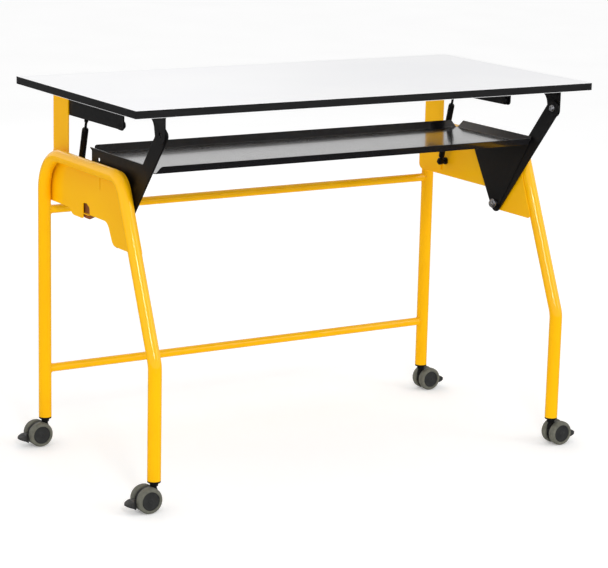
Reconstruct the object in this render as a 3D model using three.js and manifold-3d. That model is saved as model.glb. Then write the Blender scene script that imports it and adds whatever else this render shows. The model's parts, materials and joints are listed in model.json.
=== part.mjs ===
// Tilting drafting table on casters: bent tube side frames, a four-bar lift linkage with gas struts,
// a swinging tray frame and a laminate top. Millimetres, +Z up, user at -Y, floor at z = 0.
import * as THREE from 'three';
import { mergeVertices } from 'three/addons/utils/BufferGeometryUtils.js';
import Module from 'manifold-3d';

const wasm = await Module();
wasm.setup();

// ---------------------------------------------------------------- driving dimensions
const GAP = 0.3;

const TOP = { width: 1200, depth: 600, thickness: 18, surface: 880, setBack: 2.5, laminate: 1 };
const UNDERSIDE = TOP.surface - TOP.thickness;

const TUBE = { radius: 15, wall: 1.5, halfSpan: 541, halfDepth: 278.5, endHeight: 68 };
const FRAME = { railHeight: 706, rearRadius: 90, frontRadius: 55, bendHeight: 325, bendRadius: 60 };
const SLANT = THREE.MathUtils.degToRad(23.2);

const RAIL = { radius: 10, wall: 1.5, lowHeight: 185.5, highHeight: 568 };

// Steel sheet layers, counted outwards from the middle of the table along X.
const SHEET = 3;
const PLATE_X = TUBE.halfSpan - TUBE.radius - GAP - SHEET;
const LINK_X = 516.4;
const UPRIGHT_X = LINK_X + SHEET + GAP;
const TOP_BRACKET_X = LINK_X + SHEET + 0.6;

// Pivots of the four-bar linkage in the side plane, as [y, z].
const LINK_REAR = [232, 830];
const LINK_FRONT = [-72, 814];
const ARM_LOW = [-51, 557];
const ARM_TOP = [-258, 819];
const STRUT_LOW = [173, 627];
const STRUT_TOP = [125, 811];
const STRUT_X = 506;

const TRAY = { halfWidth: 501.5, front: -195.5, rear: 101.5, floor: 724, height: 17, flare: 13.5, gauge: 1.5 };

const CASTER = { wheelRadius: 29.2, trail: 18.5, wheelInner: 7, wheelWidth: 17, axleRadius: 4 };

// ---------------------------------------------------------------- colours
const YELLOW = 0xf2ae16;
const BLACK = 0x17161a;
const WHITE = 0xf4f4f5;
const STEEL = 0xb9bbbd;
const GREY = 0x6c6c66;
const DARK_GREY = 0x35363a;
const BROWN = 0x5a3018;

function material(color, roughness, metalness) {
  return new THREE.MeshStandardMaterial({ color, roughness, metalness });
}

const table = new THREE.Group();

function addMesh(name, geometry, color, roughness, metalness, parent = table) {
  const mesh = new THREE.Mesh(geometry, material(color, roughness, metalness));
  mesh.name = name;
  parent.add(mesh);
  return mesh;
}

// ---------------------------------------------------------------- solid helpers
function toSolid(geometry) {
  const bare = geometry.index ? geometry.toNonIndexed() : geometry.clone();
  bare.deleteAttribute('normal');
  bare.deleteAttribute('uv');
  const merged = mergeVertices(bare, 1e-4);
  return new wasm.Manifold(new wasm.Mesh({
    numProp: 3,
    vertProperties: new Float32Array(merged.attributes.position.array),
    triVerts: new Uint32Array(merged.index.array),
  }));
}

function toGeometry(solid) {
  const mesh = solid.getMesh();
  const geometry = new THREE.BufferGeometry();
  geometry.setAttribute('position', new THREE.BufferAttribute(new Float32Array(mesh.vertProperties), 3));
  geometry.setIndex(new THREE.BufferAttribute(new Uint32Array(mesh.triVerts), 1));
  return geometry;
}

function join(...geometries) {
  return toGeometry(geometries.map(toSolid).reduce((sum, next) => sum.add(next)));
}

function cut(geometry, ...tools) {
  return toGeometry(tools.map(toSolid).reduce((rest, tool) => rest.subtract(tool), toSolid(geometry)));
}

function boxBetween(low, high) {
  const size = high.map((value, i) => value - low[i]);
  const middle = high.map((value, i) => (value + low[i]) / 2);
  return new THREE.BoxGeometry(...size).translate(...middle);
}

// A cylinder along X from x0 to x1 around the point [y, z] of the side plane.
function rodAlongX(radius, x0, x1, [y, z], sides = 20) {
  const rod = new THREE.CylinderGeometry(radius, radius, Math.abs(x1 - x0), sides);
  return rod.rotateZ(Math.PI / 2).translate((x0 + x1) / 2, y, z);
}

// A turned part along X: steps are [x, radius] pairs, from the inner end to the outer end.
function turnedAlongX(steps, [y, z], sides = 20) {
  const profile = [new THREE.Vector2(0, steps[0][0])];
  for (const [x, radius] of steps) {
    profile.push(new THREE.Vector2(radius, x));
  }
  profile.push(new THREE.Vector2(0, steps.at(-1)[0]));
  return new THREE.LatheGeometry(profile, sides).rotateZ(-Math.PI / 2).translate(0, y, z);
}

// A turned part along Z from [radius, z] pairs, bottom to top.
function turnedAlongZ(steps, sides = 20) {
  const profile = [new THREE.Vector2(0, steps[0][1])];
  for (const [radius, z] of steps) {
    profile.push(new THREE.Vector2(radius, z));
  }
  profile.push(new THREE.Vector2(0, steps.at(-1)[1]));
  return new THREE.LatheGeometry(profile, sides).rotateX(Math.PI / 2);
}

// A closed outline whose corners are [u, v, radius]; each corner is rounded by a tangent arc.
function roundedOutline(corners) {
  const shape = new THREE.Shape();
  corners.forEach(([u, v, radius = 0], i) => {
    const corner = new THREE.Vector2(u, v);
    const before = new THREE.Vector2(...corners.at(i - 1).slice(0, 2)).sub(corner).normalize();
    const after = new THREE.Vector2(...corners[(i + 1) % corners.length].slice(0, 2)).sub(corner).normalize();
    const move = i === 0 ? 'moveTo' : 'lineTo';
    if (radius === 0) {
      shape[move](u, v);
      return;
    }
    const half = Math.acos(THREE.MathUtils.clamp(before.dot(after), -1, 1)) / 2;
    const start = corner.clone().addScaledVector(before, radius / Math.tan(half));
    const end = corner.clone().addScaledVector(after, radius / Math.tan(half));
    const centre = before.clone().add(after).normalize().multiplyScalar(radius / Math.sin(half)).add(corner);
    const from = start.clone().sub(centre).angle();
    const to = end.clone().sub(centre).angle();
    shape[move](start.x, start.y);
    shape.absarc(centre.x, centre.y, radius, from, to, before.cross(after) > 0);
  });
  shape.closePath();
  return shape;
}

// Sheet metal cut to a [y, z] outline and lying in the side plane from x0, one gauge thick.
function sidePlate(corners, x0, thickness = SHEET, arcSteps = 2) {
  const basis = new THREE.Matrix4().makeBasis(
    new THREE.Vector3(0, 1, 0), new THREE.Vector3(0, 0, 1), new THREE.Vector3(1, 0, 0));
  const options = { depth: thickness, bevelEnabled: false, curveSegments: arcSteps };
  return new THREE.ExtrudeGeometry(roundedOutline(corners), options).applyMatrix4(basis).translate(x0, 0, 0);
}

// A path that is swept from station to station, so straight lengths need no steps in between.
class StationPath extends THREE.Curve {
  constructor(points) {
    super();
    this.points = points;
  }

  getPointAt(t) {
    return this.points[Math.round(t * (this.points.length - 1))].clone();
  }

  getTangentAt(t) {
    const i = Math.round(t * (this.points.length - 1));
    const into = this.points[i].clone().sub(this.points[Math.max(i - 1, 0)]).normalize();
    const out = this.points[Math.min(i + 1, this.points.length - 1)].clone().sub(this.points[i]).normalize();
    return into.add(out).normalize();
  }
}

// An arc is sampled with twice as many steps as curveSegments says, hence half the sides here.
function tubeAlong(points, radius, wall, sides) {
  const ring = new THREE.Shape().absarc(0, 0, radius, 0, 2 * Math.PI, false);
  ring.holes.push(new THREE.Path().absarc(0, 0, radius - wall, 0, 2 * Math.PI, true));
  return new THREE.ExtrudeGeometry(ring, {
    steps: points.length - 1,
    curveSegments: sides / 2,
    bevelEnabled: false,
    extrudePath: new StationPath(points),
  });
}

// Every side part is modelled on the right; the left one is its mirror image.
function mirrored(geometry) {
  const flipped = (geometry.index ? geometry.toNonIndexed() : geometry.clone()).scale(-1, 1, 1);
  const position = flipped.attributes.position;
  for (let i = 0; i < position.count; i += 3) {
    const corner = new THREE.Vector3().fromBufferAttribute(position, i + 1);
    position.setXYZ(i + 1, position.getX(i + 2), position.getY(i + 2), position.getZ(i + 2));
    position.setXYZ(i + 2, corner.x, corner.y, corner.z);
  }
  flipped.deleteAttribute('normal');
  return flipped;
}

function addPair(name, geometry, ...finish) {
  addMesh(`${name}_right`, geometry, ...finish);
  addMesh(`${name}_left`, mirrored(geometry), ...finish);
}

// ---------------------------------------------------------------- tabletop
function addTabletop() {
  const halfWidth = TOP.width / 2;
  const front = TOP.setBack - TOP.depth / 2;
  const rear = TOP.setBack + TOP.depth / 2;
  const slab = (low, high) => boxBetween([-halfWidth, front, low], [halfWidth, rear, high]);
  const coreLow = UNDERSIDE + TOP.laminate;
  const coreHigh = TOP.surface - TOP.laminate;
  addMesh('top_core', slab(coreLow, coreHigh), BLACK, 0.5, 0);
  addMesh('top_laminate', slab(coreHigh + GAP, TOP.surface), WHITE, 0.45, 0);
  addMesh('bottom_laminate', slab(UNDERSIDE, coreLow - GAP), WHITE, 0.5, 0);
}

// ---------------------------------------------------------------- side frames and rails
// The centreline is a chain of straight lengths and arcs: rear leg, top rail, slanted and upright front leg.
function frameCentreline() {
  const x = TUBE.halfSpan;
  const { railHeight, bendHeight } = FRAME;
  const crest = -TUBE.halfDepth + (railHeight - bendHeight) * Math.tan(SLANT);
  const corners = [
    [TUBE.halfDepth, TUBE.endHeight],
    [TUBE.halfDepth, railHeight, FRAME.rearRadius, 7],
    [crest, railHeight, FRAME.frontRadius, 5],
    [-TUBE.halfDepth, bendHeight, FRAME.bendRadius, 3],
    [-TUBE.halfDepth, TUBE.endHeight],
  ];
  const points = [];
  corners.forEach(([y, z, radius, steps], i) => {
    if (!radius) {
      points.push(new THREE.Vector3(x, y, z));
      return;
    }
    const corner = new THREE.Vector2(y, z);
    const before = new THREE.Vector2(...corners[i - 1].slice(0, 2)).sub(corner).normalize();
    const after = new THREE.Vector2(...corners[i + 1].slice(0, 2)).sub(corner).normalize();
    const half = Math.acos(before.dot(after)) / 2;
    const reach = radius / Math.tan(half);
    const centre = before.clone().add(after).normalize().multiplyScalar(radius / Math.sin(half)).add(corner);
    const start = corner.clone().addScaledVector(before, reach).sub(centre);
    const turn = (Math.PI - 2 * half) * Math.sign(-before.cross(after));
    for (let step = 0; step <= steps; step += 1) {
      const spoke = start.clone().rotateAround(new THREE.Vector2(), turn * step / steps);
      points.push(new THREE.Vector3(x, centre.x + spoke.x, centre.y + spoke.y));
    }
  });
  return points;
}

function addSideFrames() {
  const frame = tubeAlong(frameCentreline(), TUBE.radius, TUBE.wall, 20);
  addPair('side_frame', frame, YELLOW, 0.3, 0);
}

// A cross rail is coped to the rear legs and stays a hair short of them.
function crossRail(height) {
  const reach = TUBE.halfSpan - TUBE.radius / 2;
  const ends = [-reach, reach].map((x) => new THREE.Vector3(x, TUBE.halfDepth, height));
  const rail = tubeAlong(ends, RAIL.radius, RAIL.wall, 14);
  const legs = [-1, 1].map((side) => new THREE.CylinderGeometry(
    TUBE.radius + GAP, TUBE.radius + GAP, 4 * RAIL.radius, 32)
    .rotateX(Math.PI / 2).translate(side * TUBE.halfSpan, TUBE.halfDepth, height));
  return cut(rail, ...legs);
}

function addRails() {
  addMesh('lower_rail', crossRail(RAIL.lowHeight), YELLOW, 0.3, 0);
  addMesh('upper_rail', crossRail(RAIL.highHeight), YELLOW, 0.3, 0);
}

// ---------------------------------------------------------------- side plates and release lever
// The left plate bulges downwards and has an open notch there for the release lever.
function plateOutline(notched) {
  const leg = (z) => -TUBE.halfDepth + (z - FRAME.bendHeight) * Math.tan(SLANT);
  const notch = [
    [72, 590, 3], [72, 606, 6], [87, 614, 6], [107, 612, 2], [107, 576, 5], [158, 576, 20], [180, 590, 14],
  ];
  return [
    [292, 590, 16],
    [292, 650, 24],
    [270, 684, 12],
    [262, 714, 6],
    [leg(714), 714, 55],
    [leg(541), 541, 9],
    [-45, 541, 22],
    [-17, 590, 26],
    ...(notched ? notch : []),
  ].reverse();
}

// Each plate has a slit near its middle and a flat upright welded to its inner face, which carries the lift link.
function addSidePlates() {
  const upright = sidePlate(
    [[268, 600, 5], [268, 850, 8], [190, 850, 8], [190, 600, 5]].reverse(), UPRIGHT_X, SHEET + 0.5);
  const slit = boxBetween([PLATE_X - 5, 19.2, 655], [PLATE_X + 5, 21, 688]);
  const plate = (notched) => join(cut(sidePlate(plateOutline(notched), PLATE_X), slit), upright);
  addMesh('side_plate_right', plate(false), YELLOW, 0.32, 0);
  addMesh('side_plate_left', mirrored(plate(true)), YELLOW, 0.32, 0);
}

// The left side carries a squeeze lever behind the notch of the plate; its lip reaches out through the notch.
function addReleaseLever() {
  const x0 = LINK_X;
  const pivot = [148, 598];
  const blade = sidePlate([
    [159, 588, 9], [159, 609, 9], [64, 618, 6], [52, 590, 5], [86, 577, 8], [108, 577, 10],
  ].reverse(), x0);
  const lip = boxBetween([x0 + 1, 76, 588], [PLATE_X + 2, 103, 589.6]);
  const pivotHole = rodAlongX(4.3, x0 - 5, x0 + 5, pivot, 20);
  addMesh('release_lever', mirrored(cut(join(blade, lip), pivotHole)), BROWN, 0.5, 0);
  const pin = turnedAlongX([[x0 - 3, 7], [x0 - GAP, 7], [x0 - GAP, 4], [PLATE_X - GAP, 4]], pivot, 16);
  addMesh('release_lever_pin', mirrored(pin), STEEL, 0.3, 1);
}

// ---------------------------------------------------------------- lift linkage
const PIN = { radius: 5, hole: 5.3 };
const BIG_PIN = { radius: 6, hole: 6.3 };
const collarEnd = PLATE_X - GAP;
const linkOuter = LINK_X + SHEET + GAP;
const linkInner = LINK_X - GAP;

function addLiftLinks() {
  const web = sidePlate([
    [-81, 803, 10], [-81, 857, 10], [262, 857, 10], [262, 816, 16], [244, 800, 16],
  ].reverse(), LINK_X);
  const holes = [
    rodAlongX(PIN.hole, LINK_X - 5, LINK_X + 5, LINK_REAR, 24),
    rodAlongX(PIN.hole, LINK_X - 5, LINK_X + 5, LINK_FRONT, 24),
  ];
  addPair('lift_link', cut(web, ...holes), BLACK, 0.45, 0);
  addPair('link_rear_pin', turnedAlongX([
    [linkInner - 7, 8.5], [linkInner, 8.5], [linkInner, PIN.radius], [UPRIGHT_X - GAP, PIN.radius],
  ], LINK_REAR), STEEL, 0.3, 1);
  addPair('link_front_pin', turnedAlongX([
    [linkInner - 4, 8.5], [linkInner, 8.5], [linkInner, PIN.radius], [UPRIGHT_X + SHEET, PIN.radius],
  ], LINK_FRONT), STEEL, 0.3, 1);
}

// A hanging ear with a screw flange along the underside of the tabletop.
function hangingBracket(outline, x0, pivot) {
  const ear = sidePlate(outline, x0);
  const ys = outline.map(([y]) => y);
  const top = UNDERSIDE - GAP;
  const flange = boxBetween([x0 - 24, Math.min(...ys), top - SHEET], [x0 + 1, Math.max(...ys), top]);
  const screws = [0.25, 0.75].map((part) => new THREE.CylinderGeometry(2.6, 2.6, 20, 12)
    .rotateX(Math.PI / 2)
    .translate(x0 - 14, THREE.MathUtils.lerp(Math.min(...ys), Math.max(...ys), part), top));
  return cut(join(ear, flange), rodAlongX(PIN.hole, x0 - 5, x0 + 5, pivot, 24), ...screws);
}

function addTabletopBrackets() {
  const top = UNDERSIDE - GAP;
  addPair('top_bracket', hangingBracket([
    [-279, top, 0], [-194, top, 0], [-228, 846, 26], [-238, 799, 18], [-279, 799, 18],
  ].reverse(), TOP_BRACKET_X, ARM_TOP), BLACK, 0.45, 0);
  addPair('link_bracket', hangingBracket([
    [-87, top, 0], [-42, top, 0], [-57, 803, 12], [-87, 803, 9],
  ].reverse(), UPRIGHT_X, LINK_FRONT), BLACK, 0.45, 0);
}

// ---------------------------------------------------------------- swinging arms
const armDirection = new THREE.Vector2(...ARM_TOP).sub(new THREE.Vector2(...ARM_LOW)).normalize();
const armRear = new THREE.Vector2(armDirection.y, -armDirection.x);
const armLength = new THREE.Vector2(...ARM_TOP).distanceTo(new THREE.Vector2(...ARM_LOW));
const ARM_HALF = 19.3;

// A point of the side plane that lies `along` from the lower pivot and `across` towards the rear.
function onArm(along, across) {
  const point = new THREE.Vector2(...ARM_LOW).addScaledVector(armDirection, along).addScaledVector(armRear, across);
  return [point.x, point.y];
}

// The arm and its tray gusset are one flat sheet: strip, triangle and rear tongue.
function addArms() {
  const trayTop = TRAY.floor + TRAY.height;
  const crook = onArm((trayTop - ARM_LOW[1] + ARM_HALF * -armRear.y) / armDirection.y, ARM_HALF);
  const sheet = sidePlate([
    [...onArm(-26, -ARM_HALF), 17],
    [58, 703, 24],
    [82, 703, 5],
    [82, trayTop, 3],
    [crook[0], trayTop, 2],
    [...onArm(armLength + ARM_HALF, ARM_HALF), ARM_HALF - 0.2],
    [...onArm(armLength + ARM_HALF, -ARM_HALF), 10],
  ].reverse(), LINK_X, SHEET, 3);
  const holes = [
    rodAlongX(BIG_PIN.hole, LINK_X - 5, LINK_X + 5, ARM_LOW, 24),
    rodAlongX(PIN.hole, LINK_X - 5, LINK_X + 5, ARM_TOP, 24),
    rodAlongX(4.2, LINK_X - 5, LINK_X + 5, [45, 720], 16),
  ];
  addPair('swing_arm', cut(sheet, ...holes), BLACK, 0.42, 0);
}

function addArmBolts() {
  const washer = linkInner - 7;
  const nut = washer - 2.5;
  const tip = nut - 6;
  const stud = turnedAlongX([
    [tip, BIG_PIN.radius - 1.5], [nut, BIG_PIN.radius], [nut, 11.5], [washer, 11.5], [washer, 8], [linkInner, 8],
    [linkInner, BIG_PIN.radius], [linkOuter, BIG_PIN.radius], [linkOuter, 12], [collarEnd, 12],
  ], ARM_LOW);
  const hex = new THREE.CylinderGeometry(9.2, 9.2, 5, 6).rotateZ(Math.PI / 2).translate(nut - 2, ...ARM_LOW);
  addPair('arm_pivot_bolt', join(stud, hex), STEEL, 0.3, 1);
  const head = turnedAlongX([
    [linkInner - 6, 6.6], [linkInner - 1.5, 6.6], [linkInner - 1.5, 8], [linkInner, 8],
    [linkInner, PIN.radius], [LINK_X + SHEET, PIN.radius],
  ], ARM_TOP);
  const socket = new THREE.CylinderGeometry(3.4, 3.4, 8, 6).rotateZ(Math.PI / 2)
    .translate(linkInner - 7, ...ARM_TOP);
  addPair('arm_top_bolt', cut(head, socket), STEEL, 0.25, 1);
}

// ---------------------------------------------------------------- tray
// One folded sheet: a flat floor with four walls that lean outwards and open corners.
function addTray() {
  const { halfWidth, front, rear, floor, height, flare, gauge } = TRAY;
  const base = boxBetween([-halfWidth, front, floor], [halfWidth, rear, floor + gauge]);
  const top = floor + height;
  // A wall as a sloping slab: its section [outwards, z] is swept between two ends, then mitred back at the top.
  const wall = (length, notch) => {
    const section = new THREE.Shape([
      new THREE.Vector2(-2, floor), new THREE.Vector2(0, floor), new THREE.Vector2(flare, top),
      new THREE.Vector2(flare - gauge, top), new THREE.Vector2(-gauge, floor + gauge),
      new THREE.Vector2(-2, floor + gauge),
    ]);
    const slab = new THREE.ExtrudeGeometry(section, { depth: length, bevelEnabled: false })
      .translate(0, 0, -length / 2);
    const position = slab.attributes.position;
    for (let i = 0; i < position.count; i += 1) {
      const rise = (position.getY(i) - floor) / height;
      position.setZ(i, position.getZ(i) - Math.sign(position.getZ(i)) * notch * (0.15 + 0.85 * rise));
    }
    return slab.rotateX(Math.PI / 2);
  };
  const depth = rear - front;
  const middle = (rear + front) / 2;
  const long = wall(2 * halfWidth, 9);
  const short = wall(depth, 7);
  const quarter = Math.PI / 2;
  addMesh('tray', join(
    base,
    short.clone().translate(halfWidth, middle, 0),
    short.clone().rotateZ(2 * quarter).translate(-halfWidth, middle, 0),
    long.clone().rotateZ(quarter).translate(0, rear, 0),
    long.clone().rotateZ(-quarter).translate(0, front, 0),
  ), BLACK, 0.2, 0);
}

// ---------------------------------------------------------------- gas struts
const STRUT = { body: 7.6, rod: 3, eye: 8.5, eyeHalf: 5, bodyTop: 156, bore: 3.4 };

function addStruts() {
  const low = new THREE.Vector2(...STRUT_LOW);
  const high = new THREE.Vector2(...STRUT_TOP);
  const length = low.distanceTo(high);
  const lean = Math.atan2(high.x - low.x, high.y - low.y);
  // Strut parts are built upright along Z with the lower eye at the origin, then leant into place.
  const place = (geometry) => geometry.rotateX(-lean).translate(STRUT_X, ...STRUT_LOW);
  const eye = (height) => rodAlongX(STRUT.eye, -STRUT.eyeHalf, STRUT.eyeHalf, [0, height], 20);
  const eyeBore = (height) => rodAlongX(4.3, -20, 20, [0, height], 20);
  const barrel = turnedAlongZ([
    [4.6, 6.5], [STRUT.body, 13], [STRUT.body, STRUT.bodyTop - 3], [STRUT.body - 2, STRUT.bodyTop],
  ]);
  const bore = turnedAlongZ([[STRUT.bore, 40], [STRUT.bore, STRUT.bodyTop + 5]], 16);
  addPair('strut_cylinder', place(cut(join(barrel, eye(0)), eyeBore(0), bore)), BLACK, 0.35, 0);
  const rod = turnedAlongZ([[STRUT.rod, 50], [STRUT.rod, length - 4]], 16);
  const neck = turnedAlongZ([[3.4, length - 20], [4.8, length - 7]], 16);
  addPair('strut_rod', place(cut(join(rod, neck, eye(length)), eyeBore(length))), BLACK, 0.35, 0);
  const eyeInner = STRUT_X - STRUT.eyeHalf - GAP;
  addPair('strut_lower_stud', turnedAlongX([
    [eyeInner - 2.5, 6], [eyeInner, 6], [eyeInner, 4], [PLATE_X - 4, 4], [PLATE_X - 4, 9], [collarEnd, 9],
  ], STRUT_LOW), STEEL, 0.3, 1);
  addPair('strut_upper_stud', turnedAlongX([
    [eyeInner - 2.5, 6], [eyeInner, 6], [eyeInner, 4], [linkInner - 3, 4], [linkInner - 3, 7], [linkInner, 7],
  ], STRUT_TOP), STEEL, 0.3, 1);
}

// ---------------------------------------------------------------- casters
function casterWheel() {
  const { wheelRadius: r, wheelInner, wheelWidth: w, axleRadius } = CASTER;
  const bore = axleRadius + 0.3;
  const steps = [
    [bore, 0], [r - 3, 0], [r, 3], [r, w - 5], [r - 5.5, w], [r - 7.5, w], [r - 8.5, w - 1.4], [bore, w - 1.4],
    [bore, 0],
  ];
  const profile = steps.map(([radius, y]) => new THREE.Vector2(radius, y + wheelInner));
  return new THREE.LatheGeometry(profile, 24);
}

function addCaster(name, x, y, heading) {
  const caster = new THREE.Group();
  caster.position.set(x, y, 0);
  caster.rotation.z = heading;
  table.add(caster);
  const { trail, wheelRadius, axleRadius } = CASTER;

  const sleeve = turnedAlongZ([
    [4.2, 44], [4.2, 56], [9.2, 56.5], [9.2, 63.3], [14.9, 63.8], [14.9, 67.7], [13, 67.7], [13, 98],
  ]);
  addMesh(`caster_stem_${name}`, sleeve, DARK_GREY, 0.5, 0, caster);

  const lens = new THREE.CylinderGeometry(25.5, 25.5, 12, 24).translate(trail, 0, wheelRadius);
  const fender = boxBetween([trail - 25.5, -6, 24], [trail, 6, 40]);
  const boss = turnedAlongZ([[6.6, 36], [6.6, 55.6]]);
  const stemBore = turnedAlongZ([[4.6, 42], [4.6, 60]]);
  const axleBore = new THREE.CylinderGeometry(axleRadius + GAP, axleRadius + GAP, 30, 20)
    .translate(trail, 0, wheelRadius);
  addMesh(`caster_body_${name}`, cut(join(lens, fender, boss), stemBore, axleBore), DARK_GREY, 0.5, 0, caster);

  const reach = CASTER.wheelInner + CASTER.wheelWidth - 2;
  const axle = new THREE.CylinderGeometry(axleRadius, axleRadius, 2 * reach, 20).translate(trail, 0, wheelRadius);
  addMesh(`caster_axle_${name}`, axle, STEEL, 0.3, 1, caster);

  for (const [suffix, turn] of [['a', 0], ['b', Math.PI]]) {
    const wheel = addMesh(`caster_wheel_${name}_${suffix}`, casterWheel(), GREY, 0.55, 0, caster);
    wheel.position.set(trail, 0, wheelRadius);
    wheel.rotation.x = turn;
  }
  addMesh(`caster_pedal_${name}`, casterPedal(), DARK_GREY, 0.5, 0, caster);
}

// The brake pedal: a tongue on the trailing side, with a rounded tread beyond the wheels.
function casterPedal() {
  const start = CASTER.trail + 26.2;
  const tip = 70;
  const profile = roundedOutline([
    [start, 8, 1], [start, 33, 2], [start + 8, 33, 6], [tip, 25, 3], [tip, 20, 2], [start + 9, 13, 6],
  ]);
  const block = new THREE.ExtrudeGeometry(profile, { depth: 28, bevelEnabled: false, curveSegments: 3 })
    .rotateX(Math.PI / 2).translate(0, 14, 0);
  const plan = roundedOutline([
    [start - 1, -6, 0], [start + 6, -6, 0], [start + 8, -13, 3], [tip, -13, 11], [tip, 13, 11],
    [start + 8, 13, 3], [start + 6, 6, 0], [start - 1, 6, 0],
  ]);
  const footprint = new THREE.ExtrudeGeometry(plan, { depth: 60, bevelEnabled: false, curveSegments: 4 });
  return toGeometry(toSolid(block).intersect(toSolid(footprint)));
}

function addCasters() {
  for (const [row, y] of [['front', -TUBE.halfDepth], ['rear', TUBE.halfDepth]]) {
    addCaster(`${row}_left`, -TUBE.halfSpan, y, Math.PI);
    addCaster(`${row}_right`, TUBE.halfSpan, y, 0);
  }
}

addTabletop();
addSideFrames();
addRails();
addSidePlates();
addReleaseLever();
addLiftLinks();
addTabletopBrackets();
addArms();
addArmBolts();
addTray();
addStruts();
addCasters();

export default table;
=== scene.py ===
import json
import math

import bmesh
import bpy
from mathutils import Matrix, Vector


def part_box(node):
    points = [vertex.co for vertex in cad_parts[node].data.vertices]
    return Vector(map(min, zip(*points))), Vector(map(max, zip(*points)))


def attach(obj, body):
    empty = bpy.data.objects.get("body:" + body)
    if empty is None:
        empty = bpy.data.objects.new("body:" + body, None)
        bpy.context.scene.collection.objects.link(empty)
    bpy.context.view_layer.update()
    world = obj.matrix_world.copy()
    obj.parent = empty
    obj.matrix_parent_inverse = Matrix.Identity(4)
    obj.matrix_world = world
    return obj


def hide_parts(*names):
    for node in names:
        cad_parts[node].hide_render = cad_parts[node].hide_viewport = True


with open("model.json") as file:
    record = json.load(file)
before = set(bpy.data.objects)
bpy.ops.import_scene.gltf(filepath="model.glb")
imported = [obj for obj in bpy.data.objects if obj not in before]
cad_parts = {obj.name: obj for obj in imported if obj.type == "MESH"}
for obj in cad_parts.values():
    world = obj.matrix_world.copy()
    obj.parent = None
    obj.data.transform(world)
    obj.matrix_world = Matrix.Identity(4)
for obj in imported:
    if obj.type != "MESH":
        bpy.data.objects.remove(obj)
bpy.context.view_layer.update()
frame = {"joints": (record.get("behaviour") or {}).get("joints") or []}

MM = 0.001
X, Y, Z = Vector((1, 0, 0)), Vector((0, 1, 0)), Vector((0, 0, 1))
SIDES = ("right", "left")


# ---------------------------------------------------------------- places, in millimetres, from the frame
def box_mm(node):
    low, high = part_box(node)
    return low / MM, high / MM


def middle_yz(node):
    low, high = box_mm(node)
    return (low.y + high.y) / 2, (low.z + high.z) / 2


PIVOT = {
    joint["name"]: (joint["pos_m"][1] / MM, joint["pos_m"][2] / MM)
    for joint in frame["joints"]
    if "pos_m" in joint
}
LINK_REAR, LINK_FRONT, ARM_LOW = PIVOT["lift"], PIVOT["top_tilt"], PIVOT["arm_swing"]
STRUT_LOW, STRUT_TOP = PIVOT["strut_swing"], middle_yz("strut_upper_stud_right")
ARM_TOP = middle_yz("arm_top_bolt_right")

plate_low, plate_high = box_mm("side_plate_right")
tube_low, tube_high = box_mm("side_frame_right")
link_high = box_mm("lift_link_right")[1]
arm_low, arm_high = box_mm("swing_arm_right")
tray_low, tray_high = box_mm("tray")
SHEET = arm_high.x - arm_low.x
PLATE_X = plate_high.x - SHEET
UPRIGHT_X = plate_low.x
LINK_X = link_high.x - SHEET
LEG_X = (tube_low.x + tube_high.x) / 2
TUBE_R = (tube_high.x - tube_low.x) / 2
LEG_Y = tube_high.y - TUBE_R
GAP = 0.3  # between pieces that meet


# ---------------------------------------------------------------- materials
def linear(rgb):
    return [((c / 255 + 0.055) / 1.055) ** 2.4 if c > 10 else c / 255 / 12.92 for c in rgb] + [1.0]


BUMP_DEPTH = 0.0002


class Surface:
    """A Principled material with noise in its colour, roughness and bump."""

    def __init__(self, name, rgb, roughness, metallic=0.0, coat=0.0, coat_roughness=0.1, specular=0.3):
        self.material = bpy.data.materials.new(name)
        self.material.use_nodes = True
        self.nodes = self.material.node_tree.nodes
        self.links = self.material.node_tree.links
        self.shader = self.nodes["Principled BSDF"]
        self.rgb = rgb
        self.shader.inputs["Base Color"].default_value = linear(rgb)
        self.shader.inputs["Roughness"].default_value = roughness
        self.shader.inputs["Metallic"].default_value = metallic
        self.shader.inputs["Specular IOR Level"].default_value = specular
        self.shader.inputs["Coat Weight"].default_value = coat
        self.shader.inputs["Coat Roughness"].default_value = coat_roughness
        self.roughness = roughness
        self.place = self.nodes.new("ShaderNodeTexCoord").outputs["Object"]
        self.height = None

    def noise(self, scale, detail=2.0, stretch=(1, 1, 1)):
        mapping = self.nodes.new("ShaderNodeMapping")
        mapping.inputs["Scale"].default_value = stretch
        noise = self.nodes.new("ShaderNodeTexNoise")
        noise.inputs["Scale"].default_value = scale
        noise.inputs["Detail"].default_value = detail
        self.links.new(self.place, mapping.inputs["Vector"])
        self.links.new(mapping.outputs["Vector"], noise.inputs["Vector"])
        return noise.outputs["Fac"]

    def vary_colour(self, other, scale, detail=2.0, stretch=(1, 1, 1)):
        ramp = self.nodes.new("ShaderNodeValToRGB")
        ramp.color_ramp.elements[0].position = 0.35
        ramp.color_ramp.elements[1].position = 0.65
        ramp.color_ramp.elements[0].color = linear(self.rgb)
        ramp.color_ramp.elements[1].color = linear(other)
        self.links.new(self.noise(scale, detail, stretch), ramp.inputs["Fac"])
        self.links.new(ramp.outputs["Color"], self.shader.inputs["Base Color"])
        return self

    def vary_roughness(self, spread, scale, stretch=(1, 1, 1)):
        span = self.nodes.new("ShaderNodeMapRange")
        span.inputs["To Min"].default_value = self.roughness - spread
        span.inputs["To Max"].default_value = self.roughness + spread
        self.links.new(self.noise(scale, 3.0, stretch), span.inputs["Value"])
        self.links.new(span.outputs["Result"], self.shader.inputs["Roughness"])
        return self

    def bump(self, scale, strength):
        bump = self.nodes.new("ShaderNodeBump")
        bump.inputs["Strength"].default_value = strength
        bump.inputs["Distance"].default_value = BUMP_DEPTH
        self.links.new(self.noise(scale), bump.inputs["Height"])
        if self.height:
            self.links.new(self.height, bump.inputs["Normal"])
        self.height = bump.outputs["Normal"]
        self.links.new(self.height, self.shader.inputs["Normal"])
        return self


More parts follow.
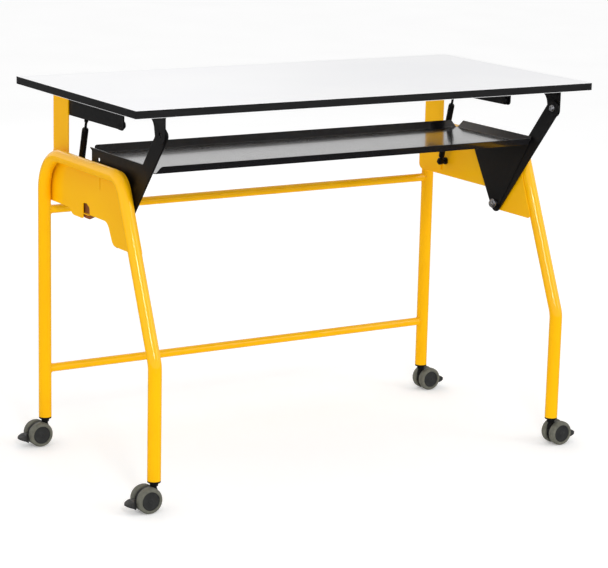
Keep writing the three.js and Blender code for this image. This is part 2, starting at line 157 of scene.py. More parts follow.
def make_materials():
    yellow = Surface("yellow_powder_coat", (253, 190, 4), 0.45, coat=0.6, coat_roughness=0.05, specular=0.05)
    yellow.vary_colour((251, 184, 4), 7.0).vary_roughness(0.05, 60.0).bump(650, 0.05).bump(90, 0.02)
    black = Surface("black_powder_coat", (14, 13, 15), 0.44, specular=0.25)
    black.vary_colour((10, 10, 12), 9.0).vary_roughness(0.06, 80.0).bump(1400, 0.16)
    tray = Surface("black_gloss_coat", (13, 12, 15), 0.2, coat=0.45, coat_roughness=0.08, specular=0.4)
    tray.vary_colour((17, 16, 19), 5.0).vary_roughness(0.04, 30.0).bump(500, 0.05)
    white = Surface("white_laminate", (248, 248, 249), 0.42)
    white.vary_colour((245, 245, 247), 3.0).vary_roughness(0.05, 400.0).bump(2200, 0.04)
    core = Surface("black_core", (28, 28, 29), 0.5, specular=0.2)
    core.vary_colour((19, 19, 20), 420.0, 4.0, (0.06, 0.06, 1.6)).vary_roughness(0.08, 300.0).bump(900, 0.25)
    steel = Surface("zinc_plated_steel", (206, 206, 209), 0.4, metallic=1.0)
    steel.vary_colour((184, 185, 189), 160.0).vary_roughness(0.08, 300.0, (8, 1, 1)).bump(1200, 0.06)
    dark_steel = Surface("black_oxide_steel", (24, 24, 26), 0.32, metallic=0.5)
    dark_steel.vary_colour((18, 18, 20), 120.0).vary_roughness(0.06, 200.0).bump(1500, 0.08)
    tread = Surface("grey_tread", (108, 108, 97), 0.58, specular=0.25)
    tread.vary_colour((94, 94, 85), 90.0, 4.0).vary_roughness(0.08, 240.0).bump(1500, 0.25)
    disc = Surface("dark_wheel_disc", (50, 51, 50), 0.42, specular=0.25)
    disc.vary_colour((42, 43, 43), 70.0).vary_roughness(0.06, 200.0).bump(1800, 0.2)
    plastic = Surface("black_plastic", (18, 18, 19), 0.4, specular=0.25)
    plastic.vary_colour((13, 13, 14), 80.0).vary_roughness(0.06, 200.0).bump(1600, 0.2)
    pedal = Surface("grey_plastic", (62, 62, 61), 0.45, specular=0.25)
    pedal.vary_colour((50, 50, 50), 90.0).vary_roughness(0.06, 200.0).bump(1600, 0.25)
    # Painted shade: the release lever stands in shadow behind the left plate's notch, so it is coloured a
    # shaded brown rather than the frame's yellow
    brown = Surface("lever_painted_shade_brown", (156, 76, 42), 0.4)
    brown.vary_colour((128, 80, 44), 45.0).vary_roughness(0.05, 200.0).bump(1400, 0.2)
    return {surface.material.name: surface.material for surface in (
        yellow, black, tray, white, core, steel, dark_steel, tread, disc, plastic, pedal, brown)}


MATERIAL = make_materials()
LOOKS = {  # short name: (material, slot of the record)
    "yellow": ("yellow_powder_coat", "yellow_paint"),
    "black": ("black_powder_coat", "black_metal"),
    "tray": ("black_gloss_coat", "black_gloss"),
    "white": ("white_laminate", "laminate_white"),
    "core": ("black_core", "core_black"),
    "steel": ("zinc_plated_steel", "steel"),
    "rod": ("black_oxide_steel", "black_metal"),
    "tread": ("grey_tread", "caster_tread"),
    "disc": ("dark_wheel_disc", "caster_dark"),
    "plastic": ("black_plastic", "caster_dark"),
    "pedal": ("grey_plastic", "caster_dark"),
    "brown": ("lever_painted_shade_brown", "lever_brown"),
}


# ---------------------------------------------------------------- pieces
EDGE_ANGLE, WELD_ANGLE = 20, 60  # degrees between faces above which an edge stays sharp


def piece(name, bm, look, body, nodes=(), angle=EDGE_ANGLE):
    material, slot = LOOKS[look]
    bmesh.ops.recalc_face_normals(bm, faces=bm.faces)
    bmesh.ops.scale(bm, vec=(MM, MM, MM), verts=bm.verts)
    mesh = bpy.data.meshes.new(name)
    bm.to_mesh(mesh)
    bm.free()
    mesh.shade_smooth()
    mesh.set_sharp_from_angle(angle=math.radians(angle))
    mesh.materials.append(MATERIAL[material])
    obj = bpy.data.objects.new(name, mesh)
    bpy.context.scene.collection.objects.link(obj)
    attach(obj, body)
    if nodes:
        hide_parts(*nodes)
    return obj


def mirrored(bm):
    other = bm.copy()
    bmesh.ops.scale(other, vec=(-1, 1, 1), verts=other.verts)
    return other


def pair(name, bm, look, body, node=None, angle=EDGE_ANGLE):
    """Adds the right-hand piece as built and its mirror image on the left."""
    left = mirrored(bm)
    for side, half in zip(SIDES, (bm, left)):
        piece(f"{name}_{side}", half, look, body, [f"{node}_{side}"] if node else (), angle)


def merged(*parts):
    whole = bmesh.new()
    for part in parts:
        mesh = bpy.data.meshes.new("part")
        part.to_mesh(mesh)
        whole.from_mesh(mesh)
        bpy.data.meshes.remove(mesh)
        part.free()
    return whole


def moved(bm, matrix):
    bmesh.ops.transform(bm, matrix=matrix, verts=bm.verts)
    return bm


# ---------------------------------------------------------------- shapes
def rounded(corners, steps=8):
    """Points of a closed outline whose corners are (u, v) or (u, v, radius)."""
    points = []
    for i, corner in enumerate(corners):
        here = Vector(corner[:2])
        if len(corner) < 3 or corner[2] == 0:
            points.append(here)
            continue
        back = (Vector(corners[i - 1][:2]) - here).normalized()
        on = (Vector(corners[(i + 1) % len(corners)][:2]) - here).normalized()
        half, radius = back.angle(on) / 2, corner[2]
        centre = here + (back + on).normalized() * (radius / math.sin(half))
        spoke = here + back * (radius / math.tan(half)) - centre
        turn = (math.pi - 2 * half) * (1 if back.cross(on) < 0 else -1)
        for k in range(steps + 1):
            points.append(centre + Matrix.Rotation(turn * k / steps, 2) @ spoke)
    return points


def circle(radius, centre, count=32):
    angles = [2 * math.pi * k / count for k in range(count)]
    return [Vector((centre[0] + radius * math.cos(a), centre[1] + radius * math.sin(a))) for a in angles]


def flat_sheet(outline, thickness, holes=(), edge=0.35):
    """A sheet in the plane of the outline with softened edges, centred on that plane."""
    curve = bpy.data.curves.new("outline", "CURVE")
    curve.dimensions = "2D"
    curve.fill_mode = "BOTH"
    curve.extrude = thickness / 2 - edge
    curve.bevel_depth = edge
    curve.bevel_resolution = 1
    curve.offset = -edge
    for loop in (outline, *holes):
        spline = curve.splines.new("POLY")
        spline.points.add(len(loop) - 1)
        for point, (u, v) in zip(spline.points, loop):
            point.co = (u, v, 0, 1)
        spline.use_cyclic_u = True
    obj = bpy.data.objects.new("outline", curve)
    bpy.context.scene.collection.objects.link(obj)
    bpy.context.view_layer.update()
    mesh = bpy.data.meshes.new_from_object(obj.evaluated_get(bpy.context.evaluated_depsgraph_get()))
    bm = bmesh.new()
    bm.from_mesh(mesh)
    bpy.data.objects.remove(obj)
    bpy.data.curves.remove(curve)
    bpy.data.meshes.remove(mesh)
    bmesh.ops.remove_doubles(bm, verts=bm.verts, dist=0.001)
    return bm


def side_sheet(corners, x, thickness=None, holes=(), edge=0.35, steps=8):
    """A sheet lying in the side plane from x outwards; corners and holes are in (y, z)."""
    thickness = thickness or SHEET
    bm = flat_sheet(rounded(corners, steps), thickness, holes, edge)
    turn = Matrix(((0, 0, 1, x + thickness / 2), (1, 0, 0, 0), (0, 1, 0, 0), (0, 0, 0, 1)))
    return moved(bm, turn)


def fold(bm, origin, along, outward, inward, radius, degrees, thickness, cuts=6):
    """Bends what lies beyond a line of the sheet towards `inward`; origin is on the inner face."""
    origin = Vector(origin)
    mid, turn = radius + thickness / 2, math.radians(degrees)
    arc = mid * turn
    for k in range(cuts + 1):
        everything = bm.verts[:] + bm.edges[:] + bm.faces[:]
        bmesh.ops.bisect_plane(
            bm, geom=everything, dist=1e-4, plane_co=origin + outward * (arc * k / cuts), plane_no=outward)
    for vert in bm.verts:
        offset = vert.co - origin
        beyond, lengthwise = offset.dot(outward), offset.dot(along)
        if beyond <= 0:
            continue
        angle, rest = min(beyond / mid, turn), max(beyond - arc, 0)
        reach = radius - offset.dot(inward)
        vert.co = (
            origin + along * lengthwise + inward * radius
            + (outward * math.sin(angle) - inward * math.cos(angle)) * reach
            + (outward * math.cos(angle) + inward * math.sin(angle)) * rest)
    return bm


def skin(rings, closed):
    """Joins equal rings of points into a surface; closed joins the last to the first, else both get caps."""
    bm = bmesh.new()
    made = [[bm.verts.new(p) for p in ring] for ring in rings]
    count = len(made[0])
    pairs = list(zip(made, made[1:])) + ([(made[-1], made[0])] if closed else [])
    for a, b in pairs:
        for k in range(count):
            bm.faces.new((a[k], a[(k + 1) % count], b[(k + 1) % count], b[k]))
    if not closed:
        bm.faces.new(made[0])
        bm.faces.new(made[-1])
    return bm


def tube(path, side, outer, inner=None, sides=36):
    """A round tube along a path; side is a vector across the path. With inner it is hollow and open."""
    def ring(i, radius):
        before, after = path[max(i - 1, 0)], path[min(i + 1, len(path) - 1)]
        up = (after - before).normalized().cross(side).normalized()
        angles = [2 * math.pi * k / sides for k in range(sides)]
        return [path[i] + (side * math.cos(a) + up * math.sin(a)) * radius for a in angles]

    rings = [ring(i, outer) for i in range(len(path))]
    if inner:
        rings += [ring(i, inner) for i in reversed(range(len(path)))]
    return skin(rings, closed=bool(inner))


def bead(path, outwards, radius, sides=8):
    """A closed weld bead; outwards gives a direction across the path at each point."""
    rings = []
    for i, point in enumerate(path):
        along = (path[(i + 1) % len(path)] - path[i - 1]).normalized()
        across = outwards[i].normalized()
        up = along.cross(across).normalized()
        swell = radius * (1 + 0.12 * math.sin(i * 2.4))
        angles = [2 * math.pi * k / sides for k in range(sides)]
        rings.append([point + (across * math.cos(a) + up * math.sin(a)) * swell for a in angles])
    return skin(rings, closed=True)


def turned(profile, axis, origin, sides=40, closed=False):
    """Turns (radius, height) points about an axis; an end radius of 0 closes that end in a point."""
    origin = Vector(origin)
    u = {0: Y, 1: Z, 2: X}[max(range(3), key=lambda i: abs(axis[i]))]
    u = (u - axis * u.dot(axis)).normalized()
    v = axis.cross(u)
    bm = bmesh.new()
    rings = []
    for radius, height in profile:
        centre = origin + axis * height
        if radius == 0:
            rings.append([bm.verts.new(centre)])
            continue
        angles = [2 * math.pi * k / sides for k in range(sides)]
        rings.append([bm.verts.new(centre + (u * math.cos(a) + v * math.sin(a)) * radius) for a in angles])
    for a, b in list(zip(rings, rings[1:])) + ([(rings[-1], rings[0])] if closed else []):
        for k in range(sides):
            corners = [a[k % len(a)], a[(k + 1) % len(a)], b[(k + 1) % len(b)], b[k % len(b)]]
            unique = list(dict.fromkeys(corners))
            if len(unique) > 2:
                bm.faces.new(unique)
    return bm


def hexagon(across_flats, low, high, axis, origin, sides=48):
    """A hexagonal nut whose top corners are turned off in a cone."""
    circle_radius = across_flats / 2 * 0.97
    origin = Vector(origin)
    u = Z if abs(axis.z) < 0.5 else X
    v = axis.cross(u)
    rings = [[], [], []]
    for k in range(sides):
        a = 2 * math.pi * k / sides
        flat = across_flats / 2 / math.cos((a + math.pi / 6) % (math.pi / 3) - math.pi / 6)
        drop = (flat - circle_radius) * 0.6
        spoke = u * math.cos(a) + v * math.sin(a)
        rings[0].append(origin + axis * low + spoke * flat)
        rings[1].append(origin + axis * (high - drop) + spoke * flat)
        rings[2].append(origin + axis * high + spoke * circle_radius)
    return skin(rings, closed=False)


# ---------------------------------------------------------------- tabletop
def add_tabletop():
    for node, look in (("top_laminate", "white"), ("bottom_laminate", "white"), ("top_core", "core")):
        low, high = box_mm(node)
        if node == "top_core":  # the core fills the hair gaps to both laminates
            low.z, high.z = box_mm("bottom_laminate")[1].z, box_mm("top_laminate")[0].z
        corners = [(low.x, low.y, 2.5), (high.x, low.y, 2.5), (high.x, high.y, 2.5), (low.x, high.y, 2.5)]
        thickness = high.z - low.z
        bm = flat_sheet(rounded(corners, 6), thickness, edge=min(0.25, thickness / 3))
        moved(bm, Matrix.Translation((0, 0, (low.z + high.z) / 2)))
        piece(f"{node}_skin", bm, look, "tabletop", [node])


# ---------------------------------------------------------------- side frames and rails
RAIL_HEIGHT = tube_high.z - TUBE_R
SLANT = math.radians(23.2)
BEND_HEIGHT = 325
TUBE_WALL = 1.5
WELD_R = 1.7


def frame_path():
    """The centreline of one side frame in (y, z): rear leg, top rail, slanted and upright front leg."""
    crest = -LEG_Y + (RAIL_HEIGHT - BEND_HEIGHT) * math.tan(SLANT)
    corners = [
        (LEG_Y, tube_low.z), (LEG_Y, RAIL_HEIGHT, 90), (crest, RAIL_HEIGHT, 55),
        (-LEG_Y, BEND_HEIGHT, 60), (-LEG_Y, tube_low.z)]
    return [Vector((LEG_X, y, z)) for y, z in rounded(corners, 22)]


def add_frames():
    pair("side_tube", tube(frame_path(), X, TUBE_R, TUBE_R - TUBE_WALL, 48), "yellow", "frame", "side_frame")
    for node in ("lower_rail", "upper_rail"):
        low, high = box_mm(node)
        y, z = (low.y + high.y) / 2, (low.z + high.z) / 2
        radius = (high.z - low.z) / 2
        reach = LEG_X - TUBE_R + 2
        path = [Vector((-reach + 2 * reach * k / 12, y, z)) for k in range(13)]
        piece(f"{node}_tube", tube(path, Y, radius, radius - TUBE_WALL), "yellow", "frame", [node])
        angles = [2 * math.pi * k / 40 for k in range(40)]
        seam = [Vector((LEG_X - math.sqrt(TUBE_R ** 2 - (radius * math.cos(a)) ** 2) - 0.3,
                        y + (radius + 0.3) * math.cos(a), z + (radius + 0.3) * math.sin(a))) for a in angles]
        spokes = [Vector((0, math.cos(a), math.sin(a))) for a in angles]
        pair(f"{node}_weld", bead(seam, spokes, WELD_R), "yellow", "frame", angle=WELD_ANGLE)


# ---------------------------------------------------------------- side plates
PIN_R, BIG_PIN_R = 5.0, 6.0


def plate_corners(notched):
    def leg(z):
        return -LEG_Y + (z - BEND_HEIGHT) * math.tan(SLANT)

    top, lobe = 714, 541
    notch = [
        (72, 590, 3), (72, 606, 6), (87, 614, 6), (107, 612, 2),
        (107, 576, 5), (158, 576, 20), (180, 590, 14)]
    return [
        (292, 590, 16), (292, 650, 24), (270, 684, 12), (262, top, 6), (leg(top), top, 55),
        (leg(lobe), lobe, 9), (-45, lobe, 22), (-17, 590, 26), *(notch if notched else [])]


def add_plates():
    """A plate has a thin slit; its upright is a flat bar welded to the inner face."""
    slit = rounded([(18.6, 655, 1), (21.4, 655, 1), (21.4, 688, 1), (18.6, 688, 1)], 3)
    bar = [(268, 600, 5), (268, 850, 8), (190, 850, 8), (190, 600, 5)]
    plates = []
    for notched in (False, True):
        sheet = side_sheet(plate_corners(notched), PLATE_X, holes=[slit], edge=0.5, steps=10)
        plates.append(merged(sheet, side_sheet(bar, UPRIGHT_X, PLATE_X - UPRIGHT_X, steps=6)))
    piece("plate_right", plates[0], "yellow", "frame", ["side_plate_right"])
    piece("plate_left", mirrored(plates[1]), "yellow", "frame", ["side_plate_left"])


def add_release_lever():
    pivot = PIVOT["lever_squeeze"]
    blade = side_sheet([
        (159, 588, 9), (159, 609, 9), (64, 618, 6), (52, 590, 5), (86, 577, 8), (108, 577, 10)],
        LINK_X, holes=[circle(4.3, pivot, 24)])
    root_x, edge_x = LINK_X + 1, PLATE_X + SHEET + 1.2
    strip = [(root_x, 76, 0.4), (edge_x, 76, 1), (edge_x, 103, 1), (root_x, 103, 0.4)]
    lip = moved(flat_sheet(rounded(strip), 1.6, edge=0.3), Matrix.Translation((0, 0, 588.8)))
    # The blade's brown colour is painted shade for the lever in shadow behind the notch
    piece("release_lever_blade", mirrored(blade), "brown", "release_lever", ["release_lever"])
    piece("release_lever_lip", mirrored(lip), "yellow", "release_lever")
    inner, seat, outer = LINK_X - 3, LINK_X - GAP, PLATE_X - GAP
    profile = [(0, inner), (6.4, inner), (7, inner + 0.6), (7, seat), (4, seat), (4, outer), (0, outer)]
    pin = turned(profile, X, (0, *pivot))
    piece("release_lever_rivet", mirrored(pin), "steel", "frame", ["release_lever_pin"])


# ---------------------------------------------------------------- lift links and brackets
FOLD_R = 2.0
FOLD_OUT = FOLD_R + SHEET


def add_links():
    top = link_high.z
    corners = [(-81, 803, 10), (-81, top, 10), (262, top, 10), (262, 816, 16), (244, 800, 16)]
    holes = [circle(PIN_R + 0.3, LINK_REAR), circle(PIN_R + 0.3, LINK_FRONT)]
    pair("lift_link_sheet", side_sheet(corners, LINK_X, holes=holes), "black", "lift_links", "lift_link")


def add_bracket(name, node, corners, pivot):
    """A hanging ear with a screwed flange folded inwards along the underside of the top."""
    low, high = box_mm(f"{node}_right")
    x, line = high.x - SHEET, high.z - FOLD_OUT
    tip = line + (high.x - FOLD_OUT - low.x) + (FOLD_R + SHEET / 2) * math.pi / 2
    front, rear = low.y, high.y
    outline = [(front, tip, 5), (rear, tip, 5), (rear, line), *corners]
    bm = side_sheet(outline, x, holes=[circle(PIN_R + 0.3, pivot)])
    fold(bm, (x, 0, line), Y, Z, -X, FOLD_R, 90, SHEET)
    screws = []
    for part in (0.25, 0.75):
        at = (x - 14, front + (rear - front) * part, high.z - SHEET)
        head = [(0, -2.2), (1.2, -2.2), (1.4, -1.3), (2.2, -2.2), (3.4, -2.0), (4.6, -1.2), (5, 0), (0, 0)]
        screws.append(turned(head, Z, at, 24))
    pair(name, bm, "black", "tabletop", node)
    pair(f"{name}_screws", merged(*screws), "steel", "tabletop")


def add_pins():
    """The shank of the rear pin is sunk 0.5 mm into the upright that carries it."""
    inner, sunk = LINK_X - GAP, UPRIGHT_X + 0.5
    rear = [
        (0, inner - 7), (7.4, inner - 7), (8.5, inner - 6), (8.5, inner - 0.6),
        (8, inner), (PIN_R, inner), (PIN_R, sunk), (0, sunk)]
    pair("rear_pin", turned(rear, X, (0, *LINK_REAR)), "rod", "frame", "link_rear_pin")
    low, high = box_mm("link_front_pin_right")
    step = low.x + 4
    front = [
        (0, low.x), (7.3, low.x), (8.5, low.x + 1), (8.5, step),
        (PIN_R, step), (PIN_R, high.x - 0.5), (PIN_R - 0.5, high.x), (0, high.x)]
    pair("front_pin", turned(front, X, (0, *LINK_FRONT)), "rod", "lift_links", "link_front_pin")


# ---------------------------------------------------------------- swinging arms and tray
ARM_HALF = 19.3
arm_dir = (Vector(ARM_TOP) - Vector(ARM_LOW)).normalized()
arm_rear = Vector((arm_dir.y, -arm_dir.x))
ARM_LENGTH = (Vector(ARM_TOP) - Vector(ARM_LOW)).length


def on_arm(along, across):
    return tuple(Vector(ARM_LOW) + arm_dir * along + arm_rear * across)


def add_arms():
    """An arm is a flat bar; the tray gusset is a thinner sheet that lies on its inner face."""
    top, lap = tray_high.z, 1
    tip, head = -26, ARM_LENGTH + ARM_HALF
    bar = [
        (*on_arm(tip, -ARM_HALF), 17), (*on_arm(-11.7, ARM_HALF), 10),
        (*on_arm(head, ARM_HALF), ARM_HALF - 0.1), (*on_arm(head, -ARM_HALF - 3), 10)]
    gusset = [
        (*on_arm(tip + 1, -ARM_HALF + 1.5), 16), (58, 703, 24), (82, 703, 5), (82, top, 3),
        (on_arm(230, 5)[0], top, 2)]
    pivot, hole = circle(BIG_PIN_R + 0.3, ARM_LOW), circle(4.2, (45, 720), 24)
    outer = side_sheet(bar, LINK_X - lap, SHEET + lap, [pivot, circle(PIN_R + 0.3, ARM_TOP)])
    inner = side_sheet(gusset, LINK_X - 2 * lap, lap, [circle(8.4, ARM_LOW), hole], edge=0.2)
    pair("arm_sheet", merged(outer, inner), "black", "swing_frame", "swing_arm")


def add_arm_bolts():
    """The pivot is a stud with a collar, spacer, washer and nut; the top bolt has a socket head."""
    inner, outer = LINK_X - GAP, LINK_X + SHEET + GAP
    sunk = PLATE_X - GAP + 0.5
    end = box_mm("arm_pivot_bolt_right")[0].x
    profile = [
        (0, end), (3.9, end), (4.6, end + 0.8), (4.6, end + 6), (8, end + 6), (8, inner),
        (BIG_PIN_R, inner), (BIG_PIN_R, outer), (11.6, outer), (12, outer + 0.4), (12, sunk), (0, sunk)]
    ring = [(0, 7), (11.2, 7), (11.5, 7.3), (11.5, 9.2), (11.2, 9.5), (0, 9.5)]
    stud = turned(profile, X, (0, *ARM_LOW))
    nut = hexagon(16, 9.5, 14.5, -X, (inner, *ARM_LOW))
    washer = turned(ring, -X, (inner, *ARM_LOW))
    pair("arm_pivot", merged(stud, nut, washer), "steel", "frame", "arm_pivot_bolt")
    low, high = box_mm("arm_top_bolt_right")
    face = low.x
    head = [
        (0, face + 3), (3.2, face + 3), (3.2, face), (5.8, face), (6.6, face + 0.9),
        (6.6, inner - 1.5), (8, inner - 1.4), (8, inner), (PIN_R, inner),
        (PIN_R, high.x - 0.4), (PIN_R - 0.5, high.x), (0, high.x)]
    bolt = turned(head, X, (0, *ARM_TOP))
    pair("arm_top_bolt_turned", bolt, "steel", "swing_frame", "arm_top_bolt")


def add_tray():
    """A flat pattern with four tabs, folded up by the same angle; the corners stay open."""
    gauge, radius, flare = 1.5, 1.5, 13.5
    rise = tray_high.z - tray_low.z
    lean = math.degrees(math.atan2(rise, flare))
    turn = math.radians(lean)
    outer = radius + gauge
    set_in = outer * math.tan(turn / 2)
    rest = (rise - outer * (1 - math.cos(turn))) / math.sin(turn)
    tab = (radius + gauge / 2) * turn + rest
    wide = tray_high.x - flare - set_in
    rear = tray_high.y - flare - set_in
    front = tray_low.y + flare + set_in
    long_base, long_tip = wide - 1, wide - 8
    short_base, short_tip = 1, 6.5
    corners = [
        (wide, front + short_base), (wide + tab, front + short_tip, 3), (wide + tab, rear - short_tip, 3),
        (wide, rear - short_base), (long_base, rear), (long_tip, rear + tab, 7), (-long_tip, rear + tab, 7),
        (-long_base, rear), (-wide, rear - short_base), (-wide - tab, rear - short_tip, 3),
        (-wide - tab, front + short_tip, 3), (-wide, front + short_base), (-long_base, front),
        (-long_tip, front - tab, 7), (long_tip, front - tab, 7), (long_base, front)]
    bm = flat_sheet(rounded(corners, 5), gauge, edge=0.4)
    moved(bm, Matrix.Translation((0, 0, tray_low.z + gauge / 2)))
    inner_face = tray_low.z + gauge
    for origin, along, outward in (
            ((wide, 0, inner_face), Y, X), ((-wide, 0, inner_face), Y, -X),
            ((0, rear, inner_face), X, Y), ((0, front, inner_face), X, -Y)):
        fold(bm, origin, along, outward, Z, radius, lean, gauge)
    piece("tray_sheet", bm, "tray", "swing_frame", ["tray"])


# ---------------------------------------------------------------- gas struts
def add_struts():
    low, high = Vector((0, *STRUT_LOW)), Vector((0, *STRUT_TOP))
    axis = (high - low).normalized()
    length = (high - low).length
    box_low, box_high = box_mm("strut_cylinder_right")
    x = (box_low.x + box_high.x) / 2
    foot, head = Vector((x, low.y, low.z)), Vector((x, high.y, high.z))

    def eye(centre):
        ring = [(4.3, -5), (7.7, -5), (8.5, -4.3), (8.5, 4.3), (7.7, 5), (4.3, 5)]
        return turned(ring, X, centre, 32, closed=True)

    profile = [
        (0, 8), (4.4, 8), (4.6, 9.5), (7.0, 13), (7.6, 15.5), (7.6, 128), (7.3, 128.6), (7.3, 129.6),
        (7.6, 130.2), (7.6, 151), (7.1, 154), (5.6, 156), (3.5, 156), (3.4, 155), (0, 155)]
    barrel = merged(turned(profile, axis, foot), eye(foot))
    pair("strut_barrel", barrel, "rod", "strut_cylinders", "strut_cylinder")
    profile = [
        (0, 50), (2.6, 50), (3, 51), (3, length - 21), (4.2, length - 19.5),
        (4.8, length - 17), (4.8, length - 7.5), (0, length - 7.5)]
    piston = merged(turned(profile, axis, foot), eye(head))
    pair("strut_piston", piston, "rod", "strut_rods", "strut_rod")
    for node, body, where, collar_radius, collar_width in (
            ("strut_lower_stud", "frame", low, 9, 3.7), ("strut_upper_stud", "strut_rods", high, 7, 3)):
        start, stop = (side.x for side in box_mm(f"{node}_right"))
        collar = stop - collar_width
        profile = [
            (0, start), (5.2, start), (6, start + 0.8), (6, start + 2.5), (4, start + 2.5),
            (4, collar), (collar_radius, collar), (collar_radius, stop), (0, stop)]
        pair(f"{node}_turned", turned(profile, X, (0, where.y, where.z)), "rod", body, node)


# ---------------------------------------------------------------- casters
TRAIL = 18.5
WHEEL_SIDES = 56
AXLE_Z = box_mm("caster_wheel_front_right_a")[1].z / 2


def wheel_mesh():
    profile = [
        (4.3, 7), (25.7, 7), (27.4, 7.2), (28.6, 8.2), (29.1, 10), (29.2, 13), (29.2, 17.5),
        (29, 19.4), (28.5, 20.4), (28.1, 20.8), (28.1, 21.2), (27.6, 22.4), (26.6, 23.5),
        (25.2, 24), (22, 24), (21.2, 23.7), (20.9, 23), (20.9, 20.5), (4.3, 20.5)]
    return turned(profile, Y, (0, 0, 0), WHEEL_SIDES, closed=True)


def cap_mesh():
    profile = [
        (0, 22.2), (3.5, 22.25), (4.2, 22.5), (5.2, 22.5), (5.9, 22.2), (12, 22.35), (17, 22.6),
        (19.2, 22.9), (20.1, 22.7), (20.5, 22.1), (20.5, 20), (4.5, 20), (4.5, 21.4), (0, 21.4)]
    return turned(profile, Y, (0, 0, 0), WHEEL_SIDES)


def body_mesh():
    lens = [(0, -6), (22.5, -6), (24.6, -5.6), (25.5, -4.4), (25.5, 4.4), (24.6, 5.6), (22.5, 6), (0, 6)]
    disc = turned(lens, Y, (TRAIL, 0, AXLE_Z), WHEEL_SIDES)
    boss = turned([(0, 38), (6.6, 38), (6.6, 54.9), (6, 55.6), (0, 55.6)], Z, (0, 0, 0), 32)
    outline = [(-6.6, 36, 3), (14, 32, 0), (24, 55, 6), (6, 55.4, 2), (-6.6, 50, 2)]
    web = flat_sheet(rounded(outline, 5), 11, edge=1.2)
    turn = Matrix(((1, 0, 0, 0), (0, 0, -1, 0), (0, 1, 0, 0), (0, 0, 0, 1)))
    return merged(disc, boss, moved(web, turn))


def pedal_mesh():
    """A deep tongue between the wheels that widens into a tread with a rounded tip and three ridges."""
    start, tip = TRAIL + 26.2, 70.0
    plan = [
        (start, -5.8, 1), (start + 6, -5.8, 2), (start + 8.5, -12.8, 3), (tip, -12.8, 11),
        (tip, 12.8, 11), (start + 8.5, 12.8, 3), (start + 6, 5.8, 2), (start, 5.8, 1)]
    parts = [moved(flat_sheet(rounded(plan, 6), 15, edge=1.6), Matrix.Translation((0, 0, 7.5)))]
    for k in range(3):
        x = start + 12 + 3.6 * k
        ridge = [(x, -8, 0.7), (x + 1.6, -8, 0.7), (x + 1.6, 8, 0.7), (x, 8, 0.7)]
        parts.append(moved(flat_sheet(rounded(ridge, 4), 2.4, edge=0.5), Matrix.Translation((0, 0, 15.2))))
    bm = merged(*parts)
    everything = bm.verts[:] + bm.edges[:] + bm.faces[:]
    bmesh.ops.bisect_plane(bm, geom=everything, dist=1e-4, plane_co=(start + 9, 0, 0), plane_no=X)
    for vert in bm.verts:
        part = min(max((vert.co.x - start - 6) / (tip - start - 6), 0), 1)
        root = min(max((start + 9 - vert.co.x) / 9, 0), 1)
        bottom, top = 13 + 7 * part - 5 * root, 32.6 - 8.2 * part
        vert.co.z = bottom + (top - bottom) * vert.co.z / 15
    return bm


def stem_mesh(foot):
    profile = [
        (0, foot), (4.2, foot), (4.2, 56), (8.6, 56.3), (9.2, 57), (9.2, 62.9), (9.8, 63.5), (14, 63.7),
        (14.9, 64.5), (14.9, 67.6), (13.2, 67.9), (13.2, 96), (12, 98), (0, 98)]
    return turned(profile, Z, (0, 0, 0))


def axle_mesh():
    profile = [(0, -21.4), (3.6, -21.4), (4, -21), (4, 21), (3.6, 21.4), (0, 21.4)]
    return turned(profile, Y, (TRAIL, 0, AXLE_Z), 24)


def add_caster(name, facing):
    """One caster; facing turns it about its stem so that its pedal points outwards."""
    low, high = box_mm(f"caster_stem_{name}")
    turn = Matrix.Rotation(facing, 4, "Z")
    place = Matrix.Translation(((low.x + high.x) / 2, (low.y + high.y) / 2, 0)) @ turn
    for part, bm, look, body, node in (
            ("neck", stem_mesh(low.z), "plastic", "frame", "stem"),
            ("hood", body_mesh(), "plastic", f"caster_{name}", "body"),
            ("pin", axle_mesh(), "steel", f"caster_{name}", "axle"),
            ("brake", pedal_mesh(), "pedal", f"pedal_{name}", "pedal")):
        piece(f"caster_{part}_{name}", moved(bm, place), look, body, [f"caster_{node}_{name}"])
    hub = place @ Matrix.Translation((TRAIL, 0, AXLE_Z))
    for letter, flip in (("a", 0), ("b", math.pi)):
        spin = hub @ Matrix.Rotation(flip, 4, "X")
        wheel = f"{name}_{letter}"
        tyre, disc = moved(wheel_mesh(), spin), moved(cap_mesh(), spin)
        piece(f"caster_tyre_{wheel}", tyre, "tread", f"wheel_{wheel}", [f"caster_wheel_{wheel}"])
        piece(f"caster_disc_{wheel}", disc, "disc", f"wheel_{wheel}")


def add_casters():
    for row in ("front", "rear"):
        for side, facing in zip(SIDES, (0, math.pi)):
            add_caster(f"{row}_{side}", facing)


# ---------------------------------------------------------------- stage, light and camera
def add_area_light(name, place, target, size, power):
    lamp = bpy.data.lights.new(name, "AREA")
    lamp.shape = "RECTANGLE"
    lamp.size, lamp.size_y = size
    lamp.energy = power
    obj = bpy.data.objects.new(name, lamp)
    obj.location = place
    obj.rotation_euler = (Vector(target) - Vector(place)).to_track_quat("-Z", "Y").to_euler()
    bpy.context.scene.collection.objects.link(obj)


SKY_LEVELS = ((0.0, 0.06), (0.474, 0.08), (0.489, 1.0), (0.62, 1.0), (1.0, 0.64))  # place, brightness
FLOOR_GLOW, FLOOR_REACH = 0.2, 100


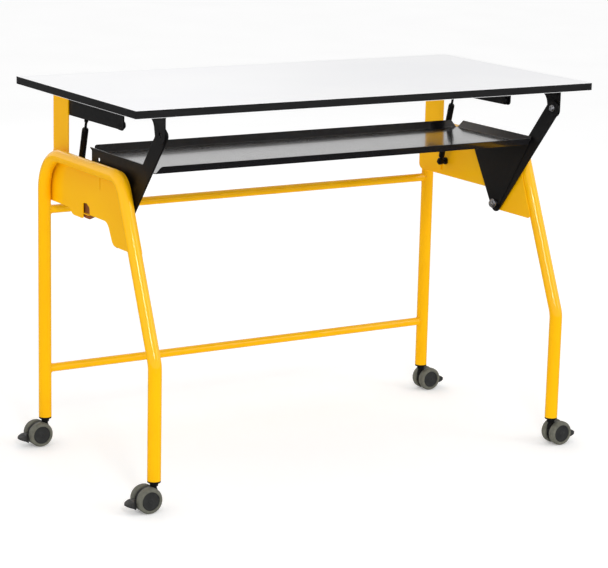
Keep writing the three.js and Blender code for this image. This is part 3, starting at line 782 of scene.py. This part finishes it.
def add_sky():
    """A sky that is brightest at the horizon, over a dark ground that only reflections see."""
    world = bpy.data.worlds.new("studio")
    world.use_nodes = True
    nodes, links = world.node_tree.nodes, world.node_tree.links
    split = nodes.new("ShaderNodeSeparateXYZ")
    sky = nodes.new("ShaderNodeValToRGB")
    height = nodes.new("ShaderNodeMapRange")
    height.inputs["From Min"].default_value = -1
    levels = sky.color_ramp.elements
    for place, _ in SKY_LEVELS[1:-1]:
        levels.new(place)
    for level, (_, brightness) in zip(levels, SKY_LEVELS):
        level.color = (brightness, brightness, brightness, 1)
    links.new(nodes.new("ShaderNodeTexCoord").outputs["Generated"], split.inputs["Vector"])
    links.new(split.outputs["Z"], height.inputs["Value"])
    links.new(height.outputs["Result"], sky.inputs["Fac"])
    links.new(sky.outputs["Color"], nodes["Background"].inputs["Color"])
    bpy.context.scene.world = world


def add_floor():
    bm = bmesh.new()
    bmesh.ops.create_grid(bm, x_segments=1, y_segments=1, size=FLOOR_REACH)
    mesh = bpy.data.meshes.new("floor")
    bm.to_mesh(mesh)
    bm.free()
    floor = bpy.data.objects.new("floor", mesh)
    surface = Surface("floor_paint", (252, 252, 252), 0.9, specular=0)
    surface.vary_colour((250, 250, 250), 2.0)
    surface.shader.inputs["Emission Color"].default_value = (1, 1, 1, 1)
    surface.shader.inputs["Emission Strength"].default_value = FLOOR_GLOW
    mesh.materials.append(surface.material)
    bpy.context.scene.collection.objects.link(floor)
    floor.visible_glossy = False


def add_lights():
    add_area_light("key", (-1.42, -3.56, 2.5), (-0.1, -0.1, 0.5), (0.6, 0.6), 32)
    add_area_light("fill", (2.8, -3.2, 2.6), (0, 0, 0.6), (1.6, 1.6), 20)
    add_area_light("rear", (1.0, 4.0, 2.6), (0, 0, 0.6), (2.4, 1.2), 12)


def add_camera():
    """The camera stands at the front left and looks down a little, as the photograph's does."""
    azimuth, elevation, roll = (math.radians(angle) for angle in (31.751, 12.742, -1.347))
    heading = Vector((math.sin(azimuth), math.cos(azimuth), 0))
    ahead = heading * math.cos(elevation) - Z * math.sin(elevation)
    level = Vector((math.cos(azimuth), -math.sin(azimuth), 0))
    right = level * math.cos(roll) + ahead.cross(level) * math.sin(roll)
    up = right.cross(ahead)
    data = bpy.data.cameras.new("camera")
    data.sensor_width, data.lens = 36.0, 129.14
    data.clip_start, data.clip_end = 0.1, 2 * FLOOR_REACH
    camera = bpy.data.objects.new("camera", data)
    basis = Matrix((right, up, -ahead)).transposed().to_4x4()
    camera.matrix_world = Matrix.Translation((-2.6486, -4.2826, 1.5326)) @ basis
    bpy.context.scene.collection.objects.link(camera)
    bpy.context.scene.camera = camera
    bpy.context.scene.view_settings.view_transform = "Standard"


add_tabletop()
add_frames()
add_plates()
add_release_lever()
add_links()
add_bracket("arm_bracket", "top_bracket", [(-228, 846, 26), (-238, 799, 18), (-279, 799, 18)], ARM_TOP)
add_bracket("lift_bracket", "link_bracket", [(-57, 803, 12), (-87, 803, 9)], LINK_FRONT)
add_pins()
add_arms()
add_arm_bolts()
add_tray()
add_struts()
add_casters()
add_sky()
add_floor()
add_lights()
add_camera()
